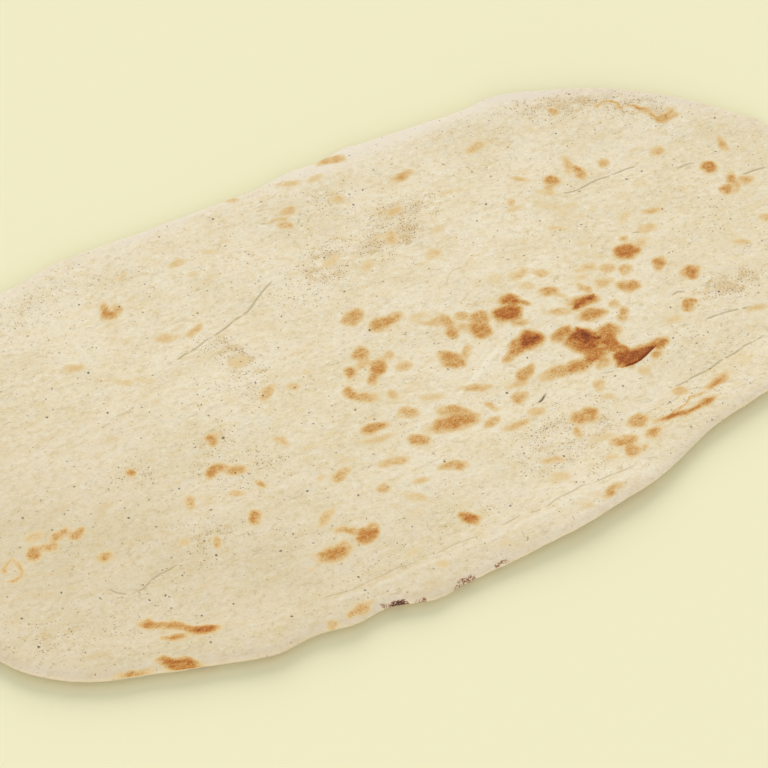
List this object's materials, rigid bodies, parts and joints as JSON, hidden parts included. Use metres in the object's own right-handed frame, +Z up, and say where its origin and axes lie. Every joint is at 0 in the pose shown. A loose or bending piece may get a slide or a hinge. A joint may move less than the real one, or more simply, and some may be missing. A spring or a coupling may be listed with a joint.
{
  "type": "lavash",
  "caption": "Long oval flatbread of soft white dough with a rounded, slightly swollen rim, low pockets and brown scorch marks, lying flat.",
  "frame": {"origin": "on the table under the bread, at the middle of its box seen from above", "axes": "+X along the bread's length, +Y across it, +Z up out of the crust"},
  "size_m": [0.445, 0.254, 0.0091],
  "materials": {
    "baked_dough": null
  },
  "bodies": {
    "root": {"lavash": "baked_dough"}
  },
  "joints": []
}
